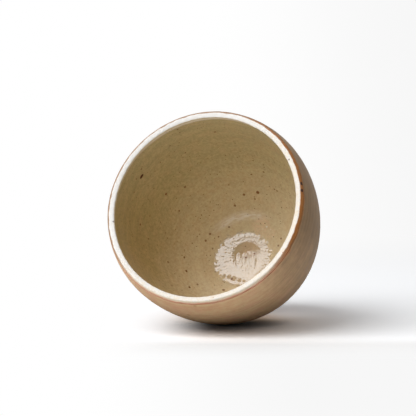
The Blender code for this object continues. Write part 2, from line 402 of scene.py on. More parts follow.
def clay_line(sizes):
    """Line of the whole wall down to the foot, and how deep below it the clay lies at each station.

    The depth is just over one coat where glaze covers the clay. It eases to bare_depth at the rust line
    and above the foot, along smooth steps. Under the glazes the stations are further apart.
    """
    inside, lip, outside = liner_line(sizes), lip_line(sizes), outer_line(sizes)
    rust = np.linspace(lip[-1, 1], outside[0, 1], STATIONS["rust_line"])[1:-1]
    bare = np.linspace(outside[-1, 1], sizes.foot_height, STATIONS["bare_clay"])[1:]
    heights = np.concatenate([rust, outside[::2, 1], bare])
    line = np.vstack([inside[::3], lip[1:], np.column_stack([outer_radius(sizes, heights), heights])])
    covered = sizes.coat * 1.02
    step = 0.3 * MM
    down = np.arange(len(line)) >= len(line) - len(heights)
    above = np.clip((line[:, 1] - outside[0, 1]) / step, 0.0, 1.0)
    below = np.clip((outside[-1, 1] - line[:, 1]) / step, 0.0, 1.0)
    bared = np.where(down, np.maximum(above, below), 0.0)
    return line, covered + (sizes.bare_depth - covered) * smooth(bared)


def foot_line(sizes):
    """Foot ring all round: outer face, rounded resting face, inner face and top."""
    inside = sizes.foot_radius - sizes.foot_width
    top = sizes.foot_height - sizes.bare_depth
    round_radius = 0.8 * MM
    face = np.linspace(top, round_radius, STATIONS["foot_outside"])
    outer = sizes.foot_radius + (sizes.foot_top_radius - sizes.foot_radius) * face / sizes.foot_height
    turn = np.linspace(0.0, -math.pi / 2.0, STATIONS["foot_corner"])
    corner = round_radius * np.column_stack([np.cos(turn), np.sin(turn)])
    outer_corner = np.array([sizes.foot_radius - round_radius, round_radius]) + corner
    inner_corner = np.array([inside + round_radius, round_radius]) + corner[::-1] * (-1.0, 1.0)
    rest = np.linspace(outer_corner[-1, 0], inner_corner[0, 0], STATIONS["foot_rest"])[1:-1]
    inner = np.linspace(round_radius, top, STATIONS["foot_inside"])[1:]
    return np.vstack([
        np.column_stack([outer - sizes.bare_depth, face]),
        outer_corner[1:],
        np.column_stack([rest, np.zeros_like(rest)]),
        inner_corner,
        np.column_stack([np.full_like(inner, inside), inner]),
    ])


def smooth(share):
    """Smooth step of a share from 0 to 1: three times its square less twice its cube."""
    return share * share * (3.0 - 2.0 * share)


def softened(line, passes):
    """The line with its corners eased: each inner point becomes a 1-2-1 mean, some passes long."""
    for _ in range(passes):
        line = np.vstack([line[:1], (line[:-2] + 2.0 * line[1:-1] + line[2:]) / 4.0, line[-1:]])
    return line


def air_side(line):
    """Unit normals of a line on its air side: the run of the line turned a quarter left."""
    run = np.gradient(line, axis=0)
    run = run / np.linalg.norm(run, axis=1)[:, None]
    return np.column_stack([-run[:, 1], run[:, 0]])


def travelled(line):
    """Distance along a line at each of its points."""
    steps = np.linalg.norm(np.diff(line, axis=0), axis=1)
    return np.concatenate([[0.0], np.cumsum(steps)])


def turn_angles():
    """Angle of each step round the axis."""
    return np.arange(TURN_STEPS) * 2.0 * math.pi / TURN_STEPS


def slanting_waves(line, waves):
    """Cosines at each station and angle, added up and brought between minus one and zero.

    Each wave is a cosine of its cycles times the angle plus its radians times the distance along the line.
    """
    angle = turn_angles()[None, :]
    along = travelled(line)[:, None]
    total = sum(np.cos(cycles * angle + along * climb) for cycles, climb in waves)
    return (total - len(waves)) / (2.0 * len(waves))


def thrown(sizes, line):
    """How far the wall strays from its line at each station and angle: ridge, wobble and ripple.

    The ridge is a spiral, a cosine of the distance along the line over its pitch, plus one turn. The
    wobble is two slow waves round the cup, and the ripple three quick ones that slant. All are at most
    zero, so the wall keeps inside its line, and fade out towards the axis.
    """
    angle = turn_angles()[None, :]
    along = travelled(line)[:, None]
    ridge = np.cos(along / sizes.ridge_pitch * 2.0 * math.pi + angle)
    swell = 0.65 + 0.35 * np.sin(3.0 * angle + along * 110.0)
    slow = np.cos(2.0 * angle + 0.7) + 0.6 * np.cos(3.0 * angle + along * 60.0)
    stray = sizes.ridge_depth * swell * (ridge - 1.0) / 2.0 + sizes.wobble * (slow - 1.6) / 3.2
    stray = stray + sizes.ripple * slanting_waves(line, RIPPLE_WAVES)
    return stray * np.clip(line[:, :1] / sizes.well_radius, 0.0, 1.0) ** 2


def inside_only(line):
    """One for the stations of a line up to its highest point, zero for those after it."""
    return (np.arange(len(line)) <= line[:, 1].argmax()).astype(float)


def tilted_well(sizes, line):
    """How far the well's tilt lifts or lowers the floor: a plane, eased out over the start of the bowl."""
    eased = np.clip(2.0 - line[:, 0] / sizes.well_radius, 0.0, 1.0) * inside_only(line)
    across = line[:, :1] * np.cos(turn_angles() - sizes.well_turn)[None, :]
    return -math.tan(sizes.well_tilt) * across * smooth(eased)[:, None]


def swaying_well(sizes, line):
    """How far the floor's points move outwards: the well's shift off the axis, its oval and its edge's waves.

    The shift is a cosine of the angle, the oval one of twice the angle, and the waves are four quicker
    ones. Shift and oval grow with the square of the radius up to the well's edge, the waves with its tenth
    power. All fade out as a bell curve beyond.
    """
    angle = turn_angles()
    waves = np.cos(np.outer(WELL_CYCLES, angle) + WELL_CYCLES[:, None] ** 2).sum(axis=0)
    sway = sizes.well_shift * (np.cos(angle - sizes.well_shift_turn) - 0.2)
    sway = sway + sizes.well_oval * np.cos(2.0 * (angle - sizes.well_oval_turn))
    out = line[:, 0] / sizes.well_radius
    near = np.where(out < 1.0, out ** 2, np.exp(-((out - 1.0) / 0.5) ** 2)) * inside_only(line)
    edge = np.where(out < 1.0, out ** 10, np.exp(-((out - 1.0) / 0.2) ** 2)) * inside_only(line)
    return near[:, None] * sway[None, :] + edge[:, None] * (sizes.well_sway / 2.0 * waves)[None, :]


def lip_bumps(sizes, line):
    """How far the lip strays in small bumps: three quick waves that slant, fading out at both edges."""
    along = travelled(line)[:, None]
    return sizes.lip_bumps * slanting_waves(line, LIP_WAVES) * np.sin(math.pi * along / along[-1])


def finger_ridges(sizes, line):
    """Pair of ridges a finger left inside: two bell curves along the line, fading round to the far side."""
    along = travelled(line)
    widest = line[:, 0].argmax()
    middle = np.interp(sizes.finger_radius, line[:widest, 0], along[:widest])
    apart = (along - middle) / sizes.finger_width
    bells = np.exp(-(apart - 1.2) ** 2) + np.exp(-(apart + 1.2) ** 2)
    facing = (0.5 + 0.5 * np.cos(turn_angles() - sizes.finger_turn)) ** 2
    return sizes.finger_height * bells[:, None] * facing[None, :]


def turned_mesh(name, outline, along, closed):
    """Mesh of a turned surface: outline[i, j] is the radius and height of station i at angle step j.

    A closed outline joins its last station to its first. An open one ends at a pole on the axis each way.
    The attribute wheel holds cosine and sine of the angle and the distance along the outline.
    """
    stations, steps = outline.shape[:2]
    cosine, sine = np.cos(turn_angles()), np.sin(turn_angles())
    radius, height = outline[:, :, 0], outline[:, :, 1]
    points = np.stack([radius * cosine, radius * sine, height], axis=-1).reshape(-1, 3)
    wheel = np.stack(np.broadcast_arrays(cosine, sine, along[:, None]), axis=-1).reshape(-1, 3)
    row = np.arange(stations if closed else stations - 1)[:, None] * steps
    column = np.arange(steps)[None, :]
    beside = (column + 1) % steps
    after = (row + steps) % (stations * steps)
    quads = np.stack([row + column, after + column, after + beside, row + beside], axis=-1).reshape(-1, 4)
    fans = np.empty((0, 3), dtype=int)
    if not closed:
        first = stations * steps
        last_row = (stations - 1) * steps
        around, neighbour = column[0], beside[0]
        fans = np.vstack([
            np.column_stack([np.full(steps, first), around, neighbour]),
            np.column_stack([last_row + around, np.full(steps, first + 1), last_row + neighbour]),
        ])
        points = np.vstack([points, (0.0, 0.0, height[0].mean()), (0.0, 0.0, height[-1].mean())])
        wheel = np.vstack([wheel, (0.0, 0.0, along[0]), (0.0, 0.0, along[-1])])
    mesh = bpy.data.meshes.new(name)
    mesh.vertices.add(len(points))
    mesh.vertices.foreach_set("co", points.astype(np.float32).ravel())
    mesh.loops.add(quads.size + fans.size)
    mesh.loops.foreach_set("vertex_index", np.concatenate([quads.ravel(), fans.ravel()]).astype(np.int32))
    starts = np.concatenate([np.arange(len(quads)) * 4, quads.size + np.arange(len(fans)) * 3])
    mesh.polygons.add(len(starts))
    mesh.polygons.foreach_set("loop_start", starts.astype(np.int32))
    mesh.update(calc_edges=True)
    mesh.validate()
    held = mesh.attributes.new("wheel", "FLOAT_VECTOR", "POINT")
    held.data.foreach_set("vector", wheel.astype(np.float32).ravel())
    mesh.shade_smooth()
    mesh.set_sharp_from_angle(angle=SHARP_ANGLE)
    return mesh


def strayed(line, stray):
    """Each point of a line moved to its air side by stray[i, j], for every angle step."""
    return line[:, None, :] + air_side(line)[:, None, :] * stray[:, :, None]


def coat_mesh(name, sizes, line, stray, closed, sway=0.0):
    """A glaze coat: the strayed line on its air side, and a coarser copy one coat deeper on its back.

    The sway moves its points outwards from the axis.
    """
    along = travelled(line)
    kept = np.linspace(len(line) - 1, 0, STATIONS["back_of_a_coat"]).astype(int)
    outline = np.concatenate([strayed(line, stray), strayed(line, stray - sizes.coat)[kept]])
    sway = np.broadcast_to(sway, stray.shape)
    outline[:, :, 0] += np.concatenate([sway, sway[kept]])
    return turned_mesh(name, outline, np.concatenate([along, along[kept]]), closed)


def linked(name, data):
    """A new object in the scene."""
    made = bpy.data.objects.new(name, data)
    bpy.context.scene.collection.objects.link(made)
    return made


def placed(name, mesh, material, node):
    """Put the finished piece on the cup in place of its solid."""
    mesh.materials.append(material)
    piece = linked(name, mesh)
    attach(piece, "root")
    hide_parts(node)


def rgba(colour):
    """A colour with an alpha of one, or a socket as it is."""
    if isinstance(colour, bpy.types.NodeSocket):
        return colour
    return (*colour, 1.0)


def grey(value):
    """A colour with the same red, green and blue."""
    return (value, value, value)


class Recipe:
    """Node tree of a material or a world, with short ways to add nodes and join them up."""

    def __init__(self, owner, place="Object"):
        owner.use_nodes = True
        self.owner = owner
        self.tree = owner.node_tree
        self.place = self.add("ShaderNodeTexCoord").outputs[place]

    def add(self, kind, inputs=None, **choices):
        """New node; each input is set to a value or linked to another node's output."""
        node = self.tree.nodes.new(kind)
        for name, value in choices.items():
            setattr(node, name, value)
        for key, value in (inputs or {}).items():
            self.join(value, node.inputs[key])
        return node

    def join(self, value, socket):
        """Link an output to a socket, or set the socket to a value."""
        if isinstance(value, bpy.types.NodeSocket):
            self.tree.links.new(value, socket)
        else:
            socket.default_value = value

    def maths(self, operation, *values, clamp=False):
        """One step of arithmetic."""
        node = self.add("ShaderNodeMath", dict(enumerate(values)), operation=operation, use_clamp=clamp)
        return node.outputs[0]

    def times(self, first, second):
        """Product of two values."""
        return self.maths("MULTIPLY", first, second)

    def plus(self, first, second):
        """Sum of two values."""
        return self.maths("ADD", first, second)

    def less(self, first, second):
        """First value less the second."""
        return self.maths("SUBTRACT", first, second)

    def larger(self, first, second):
        """Larger of two values."""
        return self.maths("MAXIMUM", first, second)

    def scaled(self, value, factor, added):
        """A value times a factor, with another value added."""
        return self.maths("MULTIPLY_ADD", value, factor, added)

    def share(self, value, low, high, at_high=1.0, at_low=0.0, kind="SMOOTHSTEP"):
        """Smooth step of a value: at_low up to low, at_high from high on."""
        spans = {"Value": value, "From Min": low, "From Max": high, "To Min": at_low, "To Max": at_high}
        return self.add("ShaderNodeMapRange", spans, interpolation_type=kind).outputs[0]

    def near(self, value, middle, reach):
        """One where a value is at the middle, smoothly down to zero at the reach on either side."""
        return self.share(self.maths("ABSOLUTE", self.less(value, middle)), reach, 0.0)

    def mix(self, share, first, second, blend="MIX"):
        """One colour over another by a share."""
        node = self.add("ShaderNodeMix", {0: share, 6: rgba(first), 7: rgba(second)},
                        data_type="RGBA", blend_type=blend)
        return node.outputs[2]

    def vector_maths(self, operation, *vectors):
        """Node for one step of arithmetic with vectors."""
        return self.add("ShaderNodeVectorMath", dict(enumerate(vectors)), operation=operation)

    def sideways(self, direction):
        """Distance of the place along a direction."""
        return self.vector_maths("DOT_PRODUCT", self.place, direction).outputs["Value"]

    def away_from(self, place):
        """Distance from a place."""
        return self.vector_maths("DISTANCE", self.place, place).outputs["Value"]


class PieceRecipe(Recipe):
    """Material of a turned piece, with the layers of its colour laid over one another."""

    def __init__(self, name):
        super().__init__(bpy.data.materials.new(name))
        self.height = self.add("ShaderNodeSeparateXYZ", {0: self.place}).outputs["Z"]
        self.wheel = self.add("ShaderNodeAttribute", attribute_name="wheel").outputs["Vector"]
        self.along = self.add("ShaderNodeSeparateXYZ", {0: self.wheel}).outputs["Z"]
        self.colour = None

    def finish(self, **inputs):
        """Set or link the shader's inputs, named with _ for a space, and give back the material."""
        shader = self.tree.nodes["Principled BSDF"]
        self.join(self.colour, shader.inputs["Base Color"])
        for name, value in inputs.items():
            self.join(value, shader.inputs[name.replace("_", " ")])
        return self.owner

    def lay(self, share, colour, blend="MIX"):
        """Lay a colour over the colour so far by a share."""
        self.colour = self.mix(share, self.colour, colour, blend)

    def shade(self, share, value):
        """Lighten and darken the colour so far by a noise."""
        tone = self.share(value, *NOISE_RANGE)
        tone = self.add("ShaderNodeCombineColor", {0: tone, 1: tone, 2: tone}).outputs[0]
        self.lay(share, tone, "OVERLAY")

    def noise(self, scale, detail=3.0, roughness=0.55, where=None):
        """Cloudy noise around one half, by default of the place in metres."""
        inputs = {"Vector": where or self.place, "Scale": scale, "Detail": detail, "Roughness": roughness}
        return self.add("ShaderNodeTexNoise", inputs).outputs["Fac"]

    def streaked(self, across, along, detail=3.0, roughness=0.55):
        """Noise drawn out round the cup: its scale across the wheel is small, and along the line large."""
        stretched = self.vector_maths("MULTIPLY", self.wheel, (across, across, along)).outputs[0]
        return self.noise(1.0, detail, roughness, stretched)

    def grained(self, across_way, across, along_way, along):
        """Place on two directions, each times its own scale, for a pattern that is drawn out along one."""
        return self.add("ShaderNodeCombineXYZ", {
            0: self.times(self.sideways(across_way), across),
            1: self.times(self.sideways(along_way), along),
        }).outputs[0]

    def side(self, direction, low, high, at_high=1.0):
        """Smooth step of the distance along a direction, between two distances in millimetres."""
        return self.share(self.sideways(direction), low * MM, high * MM, at_high)

    def clouded(self, direction, low, high, scale):
        """Smooth step along a direction, as side gives it, made uneven by noise of a scale."""
        uneven = self.scaled(self.noise(scale, 4.0), 0.7, self.side(direction, low, high))
        return self.maths("SUBTRACT", uneven, 0.35, clamp=True)

    def fired(self, sides):
        """Share of the lower side, where clay and thin glaze are painted lighter as painted light, and of the
        upper-left side, where the clay is darker.
        """
        return self.side(sides["lit_pale"], 0.0, 26.0), self.side(sides["dull"], -6.0, 20.0)

    def bare_clay(self, fired, finishes, hard, soft):
        """Colour of bare clay: hard, or soft on the lamp-lit lower side as painted light, or dark on the
        upper-left side.
        """
        lit_pale, dull = fired
        dark = self.mix(0.5, finishes.foot_clay, finishes.iron)
        return self.mix(dull, self.mix(lit_pale, hard, soft), dark)

    def from_axis(self):
        """Distance from the wheel's axis."""
        level = self.vector_maths("MULTIPLY", self.place, (1.0, 1.0, 0.0)).outputs[0]
        return self.vector_maths("LENGTH", level).outputs["Value"]

    def specks(self, spacing, largest, thinning, strength):
        """Round specks, one to a cell of the given spacing, up to a largest radius, both in metres.

        The radius is the largest times the cell's random number, raised to a power that thins out big ones.
        """
        reach = largest / spacing
        cells = self.add("ShaderNodeTexVoronoi", {"Vector": self.place, "Scale": 1.0 / spacing})
        random = self.add("ShaderNodeSeparateColor", {0: cells.outputs["Color"]}).outputs[0]
        radius = self.times(self.maths("POWER", random, thinning), reach)
        ragged = self.scaled(self.noise(2.5 / largest), 0.5 * reach, cells.outputs["Distance"])
        return self.share(self.less(radius, ragged), -0.4 * reach, -0.1 * reach, strength)

    def spotted(self, spots):
        """Share of the named spots, each a ball with a ragged edge round its place."""
        ragged = self.scaled(self.noise(2600.0, 2.0), 0.5 * MM, -0.25 * MM)
        share = 0.0
        for place, radius, strength in spots:
            reach = self.plus(self.away_from(place), ragged)
            share = self.larger(share, self.share(reach, radius * 1.5, radius * 0.8, strength))
        return share

    def bump(self, height, distance, below=None):
        """Bumps of a height from 0 to 1, as deep as a distance, over another bump."""
        inputs = {"Height": height, "Distance": distance, "Strength": 1.0}
        if below is not None:
            inputs["Normal"] = below
        return self.add("ShaderNodeBump", inputs).outputs[0]


def liner_material(sizes, finishes, spots, right, up):
    """Olive to straw glaze, glossy in the well, with soft rings, iron specks and a cream edge above."""
    recipe = PieceRecipe("liner_glaze")
    # Lighter straw towards the lower right, where the lamp shines into the cup: partly the glaze's own
    # colour, partly painted light.
    lit_thin_side = (right * 0.85 - up * 0.45).normalized()
    thin = recipe.clouded(lit_thin_side, -42.0, 18.0, 45.0)
    recipe.colour = recipe.mix(thin, finishes.olive, finishes.straw)
    recipe.lay(recipe.side(up, -45.0, 34.0, 0.85), finishes.moss)
    recipe.lay(recipe.share(recipe.height, 20.0 * MM, 58.0 * MM, 0.14), finishes.olive)
    recipe.lay(recipe.share(recipe.height, 40.0 * MM, 14.0 * MM, 0.3), finishes.straw)
    # Darker olive towards the lower side of the inside: painted shade.
    recipe.lay(recipe.side(up, -10.0, -34.0, 0.32), finishes.olive)
    recipe.lay(recipe.share(recipe.noise(230.0, 5.0, 0.65), 0.42, 0.66, 0.14), finishes.sand)
    rings = recipe.streaked(0.5, 420.0, 2.0, 0.5)
    mottle = recipe.noise(900.0, 4.0, 0.75)
    recipe.shade(0.2, recipe.scaled(rings, 0.2, recipe.times(mottle, 0.8)))
    # The finger's ridges are painted pale on their upper side as a painted highlight. The glaze is milky
    # below the lip and reaches further down on the upper side as painted light.
    radius = recipe.from_axis()
    ridge_highlight_side = (up - right * 0.25).normalized()
    ridge_highlight = recipe.near(radius, sizes.finger_radius, 2.6 * MM)
    ridge_highlight = recipe.times(ridge_highlight, recipe.side(ridge_highlight_side, 11.0, 16.0))
    streaks = recipe.streaked(5.0, 1500.0, 3.0, 0.6)
    ridge_highlight = recipe.times(ridge_highlight, recipe.share(streaks, 0.38, 0.6, 0.9, 0.3))
    recipe.lay(ridge_highlight, recipe.mix(0.7, finishes.straw, finishes.cream))
    raised = recipe.plus(recipe.height, recipe.side(up, 16.0, 36.0, 1.2 * MM))
    milky = recipe.share(raised, sizes.height - 3.2 * MM, sizes.height - 1.2 * MM)
    recipe.lay(milky, recipe.mix(0.5, finishes.straw, finishes.cream))
    # Flushed patches, specks and spots lie in the glaze.
    grains = recipe.share(recipe.noise(1400.0, 2.0), 0.42, 0.6, 1.0, 0.35)
    pink = recipe.mix(0.35, finishes.straw, finishes.salmon)
    recipe.lay(recipe.times(recipe.spotted(spots["flushed"]), grains), pink)
    fine = recipe.specks(1.2 * MM, 0.26 * MM, 2.0, 0.75)
    middling = recipe.specks(3.2 * MM, 0.45 * MM, 2.2, 0.8)
    spotted = recipe.larger(recipe.spotted(spots["iron"]), recipe.larger(fine, middling))
    recipe.lay(spotted, finishes.iron)
    recipe.lay(recipe.spotted(spots["burnt"]), finishes.burnt)
    recipe.lay(recipe.spotted(spots["flecks"]), finishes.cream)
    # The glaze that pooled in the well lies thicker, so it is deeper in colour, and glossy.
    side_way = Vector((math.cos(sizes.well_shift_turn), math.sin(sizes.well_shift_turn), 0.0))
    middle = side_way * sizes.well_shift + Vector((0.0, 0.0, sizes.floor_height))
    notches = recipe.scaled(recipe.noise(620.0, 3.0, 0.65), 8.0 * MM, -4.0 * MM)
    pooled = recipe.share(recipe.plus(recipe.away_from(middle), notches), 11.5 * MM, 11.1 * MM)
    recipe.lay(pooled, finishes.pool, "MULTIPLY")
    dull = recipe.larger(spotted, recipe.spotted(spots["gaps"]))
    glossy = recipe.times(pooled, recipe.less(1.0, dull))
    # Drips run down one side of the mound, and strokes go round the well.
    drips = recipe.less(recipe.noise(1.0, 1.6, 0.5, recipe.grained(right, 500.0, up, 180.0)), 0.5)
    drips = recipe.times(drips, recipe.share(radius, 8.0 * MM, 5.5 * MM))
    drips = recipe.times(drips, recipe.side(right, 4.5, 2.0))
    drips = recipe.times(drips, recipe.side(up, 2.5, 0.5))
    strokes = recipe.less(recipe.streaked(9.0, 1100.0, 1.0, 0.5), 0.5)
    normal = recipe.bump(rings, 0.012 * MM)
    normal = recipe.bump(recipe.times(strokes, pooled), 0.05 * MM, normal)
    normal = recipe.bump(drips, 0.45 * MM, normal)
    rough = recipe.share(mottle, *NOISE_RANGE, 0.5, 0.38)
    return recipe.finish(Roughness=rough, Normal=normal, Specular_IOR_Level=0.15, Coat_Weight=glossy,
                         Coat_Roughness=0.03, Coat_IOR=1.74, Coat_Normal=normal)


def lip_material(sizes, finishes, pits, sides):
    """Cream glaze, painted whiter on its upper-left side as painted light and creamier towards the lower
    right as painted shade, tan on its inner edge, that ends in thin glaze and bare clay.
    """
    recipe = PieceRecipe("lip_band")
    clouds = recipe.share(recipe.noise(420.0, 4.0, 0.65), 0.40, 0.72, 0.55)
    recipe.colour = recipe.mix(clouds, finishes.cream, finishes.straw)
    recipe.lay(recipe.share(recipe.noise(1500.0, 2.0, 0.6), 0.5, 0.72, 0.3), finishes.moss)
    lit_pale, dull = fired = recipe.fired(sides)
    # Whiter on the upper-left side: painted light. Creamier towards the lower right: painted shade.
    recipe.lay(recipe.times(dull, 0.8), finishes.white)
    recipe.lay(recipe.side(sides["dull"], 0.0, -28.0, 0.22), finishes.straw)
    uneven = recipe.scaled(recipe.noise(320.0), 1.0 * MM, -0.5 * MM)
    ragged = recipe.plus(recipe.along, uneven)
    inner = recipe.scaled(dull, -0.95 * MM, ragged)
    recipe.lay(recipe.share(inner, 0.9 * MM, 0.0), recipe.mix(0.5, finishes.moss, finishes.straw))
    outer = recipe.scaled(dull, 0.4 * MM, ragged)
    outer = recipe.scaled(lit_pale, -0.25 * MM, outer)
    # The thin glaze at the lip's edge is painted lighter on the lit lower side: painted light.
    edge = travelled(lip_line(sizes))[-1]
    thinned = recipe.mix(dull, recipe.mix(lit_pale, finishes.rust, finishes.straw), finishes.foot_clay)
    recipe.lay(recipe.share(outer, edge - 1.5 * MM, edge - 1.0 * MM), thinned)
    clay = recipe.bare_clay(fired, finishes, finishes.rust, finishes.salmon)
    recipe.lay(recipe.share(outer, edge - 0.6 * MM, edge - 0.2 * MM), clay)
    recipe.lay(recipe.specks(3.0 * MM, 0.34 * MM, 3.0, 0.6), finishes.rust)
    recipe.lay(recipe.spotted(pits), finishes.burnt)
    normal = recipe.bump(recipe.noise(650.0, 4.0, 0.6), 0.16 * MM)
    return recipe.finish(Roughness=0.4, Normal=normal, Specular_IOR_Level=0.2)


def outer_material(sizes, finishes, marks, sides):
    """Satin glaze, darker taupe on its shaded right and lighter sand on its lit lower left as painted shade
    and light, with streaks round the cup and clay showing near the lip.
    """
    recipe = PieceRecipe("satin_coat")
    # Lighter sand towards the lower left, which the lamp and floor light, and darker taupe towards the right:
    # painted light and shade over the glaze's own colours.
    warm = recipe.clouded(sides["warm"], -40.0, 22.0, 40.0)
    recipe.colour = recipe.mix(warm, finishes.taupe, finishes.sand)
    flushed = recipe.share(recipe.noise(130.0, 4.0, 0.6), 0.46, 0.68, 0.35)
    recipe.lay(recipe.times(flushed, warm), finishes.salmon)
    rings = recipe.streaked(0.8, 700.0, 2.0, 0.5)
    mottle = recipe.noise(300.0, 5.0, 0.7)
    recipe.shade(0.18, recipe.scaled(rings, 0.45, recipe.times(mottle, 0.55)))
    # Clay that bleeds through below the lip is painted lighter on the lit lower side: painted light.
    top = outer_line(sizes)[0, 1]
    bleed = recipe.scaled(recipe.noise(260.0), 3.0 * MM, recipe.height)
    clay = recipe.mix(recipe.fired(sides)[0], finishes.rust, finishes.salmon)
    recipe.lay(recipe.share(bleed, top + 0.6 * MM, top + 2.0 * MM, 0.9), clay)
    recipe.lay(recipe.specks(2.6 * MM, 0.24 * MM, 3.0, 0.4), finishes.iron)
    recipe.lay(recipe.spotted(marks), finishes.rust)
    normal = recipe.bump(recipe.noise(700.0), 0.02 * MM)
    normal = recipe.bump(rings, 0.01 * MM, normal)
    rough = recipe.share(mottle, *NOISE_RANGE, 0.62, 0.5)
    return recipe.finish(Roughness=rough, Normal=normal, Specular_IOR_Level=0.2)


def clay_material(name, finishes, sides, hard, soft, pits=()):
    """Bare clay, hard in colour, soft on the lamp-lit lower side as painted light and dark on the upper-left
    side, with dark grit and turning lines.
    """
    recipe = PieceRecipe(name)
    recipe.colour = recipe.bare_clay(recipe.fired(sides), finishes, hard, soft)
    recipe.shade(0.3, recipe.noise(260.0, 4.0))
    recipe.lay(recipe.specks(1.6 * MM, 0.3 * MM, 3.0, 0.7), finishes.iron)
    recipe.lay(recipe.spotted(pits), finishes.burnt)
    normal = recipe.bump(recipe.noise(1400.0), 0.06 * MM)
    normal = recipe.bump(recipe.streaked(2.0, 1500.0), 0.05 * MM, normal)
    return recipe.finish(Roughness=0.8, Normal=normal)


def studio_axes(studio):
    """Floor's normal, and the camera's right, up and towards axes, in the cup's frame."""
    upper = Vector((math.sin(studio.floor_azimuth), -math.cos(studio.floor_azimuth), 0.0))
    axis = Vector((0.0, 0.0, 1.0))
    lean = studio.floor_lean
    normal = math.sin(lean) * axis + math.cos(lean) * upper
    mouth_way = math.cos(lean) * axis - math.sin(lean) * upper
    side_way = normal.cross(mouth_way)
    level = math.cos(studio.camera_turn) * mouth_way + math.sin(studio.camera_turn) * side_way
    towards = math.cos(studio.camera_rise) * level + math.sin(studio.camera_rise) * normal
    right = normal.cross(level)
    return normal, right, towards.cross(right), towards


def level_way(way):
    """A direction without its part along the wheel's axis."""
    return Vector((way.x, way.y, 0.0)).normalized()


def fired_sides(studio):
    """Sides of the cup: warm and pale towards the lower left and bottom, where lamp and floor light it and
    outer glaze, clay and the lip's edge are painted lighter as painted light; dull towards the upper left,
    where the bare clay is darker and the lip is painted whiter.
    """
    _, right, up, _ = studio_axes(studio)
    return {
        "warm": level_way(-0.8 * right - 0.6 * up),
        "lit_pale": level_way(-0.3 * right - up),
        "dull": level_way(up - right),
    }


def camera_place(sizes, studio):
    """Where the camera stands, looking at the mouth's middle moved by the aim."""
    _, right, up, towards = studio_axes(studio)
    mouth = Vector((0.0, 0.0, lip_edges(sizes)[0][1]))
    aim = mouth + right * studio.aim_right - up * studio.aim_down
    return aim + towards * studio.camera_distance


def surface_of(mesh):
    """Triangles of a mesh, ready for lines of sight to meet them."""
    mesh.calc_loop_triangles()
    points = np.empty(len(mesh.vertices) * 3, dtype=np.float32)
    mesh.vertices.foreach_get("co", points)
    corners = np.empty(len(mesh.loop_triangles) * 3, dtype=np.int32)
    mesh.loop_triangles.foreach_get("vertices", corners)
    return BVHTree.FromPolygons(points.reshape(-1, 3).tolist(), corners.reshape(-1, 3).tolist(),
                                all_triangles=True)


def spot_places(mesh, sizes, studio, **groups):
    """Where the line of sight through each named spot's pixel meets a mesh, with radius and strength.

    The spots come in groups, and each group's places are a list.
    """
    _, right, up, towards = studio_axes(studio)
    eye = camera_place(sizes, studio)
    slope = studio.field_width / studio.camera_distance / IMAGE_SIDE
    surface = surface_of(mesh)
    places = {group: [] for group in groups}
    for group, spots in groups.items():
        for name, (across, down, radius, strength) in spots.items():
            sideways = (across - IMAGE_SIDE / 2) * slope * right - (down - IMAGE_SIDE / 2) * slope * up
            place = surface.ray_cast(eye, (sideways - towards).normalized())[0]
            if place is None:
                raise RuntimeError(f"the line of sight to {name} misses {mesh.name}")
            places[group].append((place, radius * MM, strength))
    return places


class TEACUP_OT_liner_glaze(bpy.types.Operator):
    """Line the cup with its olive glaze."""

    bl_idname = "teacup.liner_glaze"
    bl_label = "Liner Glaze"

    def execute(self, context):
        sizes, finishes, studio = settings(context)
        line = liner_line(sizes)
        stray = thrown(sizes, line) + finger_ridges(sizes, line) + tilted_well(sizes, line)
        mesh = coat_mesh("liner_glaze", sizes, line, stray, False, swaying_well(sizes, line))
        spots = spot_places(mesh, sizes, studio, iron=IRON_SPOTS, burnt=BURNT_SPOTS, flecks=PALE_FLECKS,
                            gaps=GLOSS_GAPS, flushed=FLUSHED_PATCHES)
        _, right, up, _ = studio_axes(studio)
        material = liner_material(sizes, finishes, spots, level_way(right), level_way(up))
        placed("liner_glaze", mesh, material, "inner_glaze")
        return {"FINISHED"}


class TEACUP_OT_lip_glaze(bpy.types.Operator):
    """Lay the white glaze band over the lip."""

    bl_idname = "teacup.lip_glaze"
    bl_label = "Lip Glaze"

    def execute(self, context):
        sizes, finishes, studio = settings(context)
        line = lip_line(sizes)
        mesh = coat_mesh("lip_band", sizes, line, thrown(sizes, line) + lip_bumps(sizes, line), True)
        pits = spot_places(mesh, sizes, studio, pits=LIP_PITS)["pits"]
        material = lip_material(sizes, finishes, pits, fired_sides(studio))
        placed("lip_band", mesh, material, "lip_glaze")
        return {"FINISHED"}


class TEACUP_OT_outer_glaze(bpy.types.Operator):
    """Coat the outside with its satin glaze."""

    bl_idname = "teacup.outer_glaze"
    bl_label = "Outer Glaze"

    def execute(self, context):
        sizes, finishes, studio = settings(context)
        line = outer_line(sizes)
        mesh = coat_mesh("satin_coat", sizes, line, thrown(sizes, line), True)
        marks = spot_places(mesh, sizes, studio, marks=OUTER_MARKS)["marks"]
        material = outer_material(sizes, finishes, marks, fired_sides(studio))
        placed("satin_coat", mesh, material, "outer_glaze")
        return {"FINISHED"}


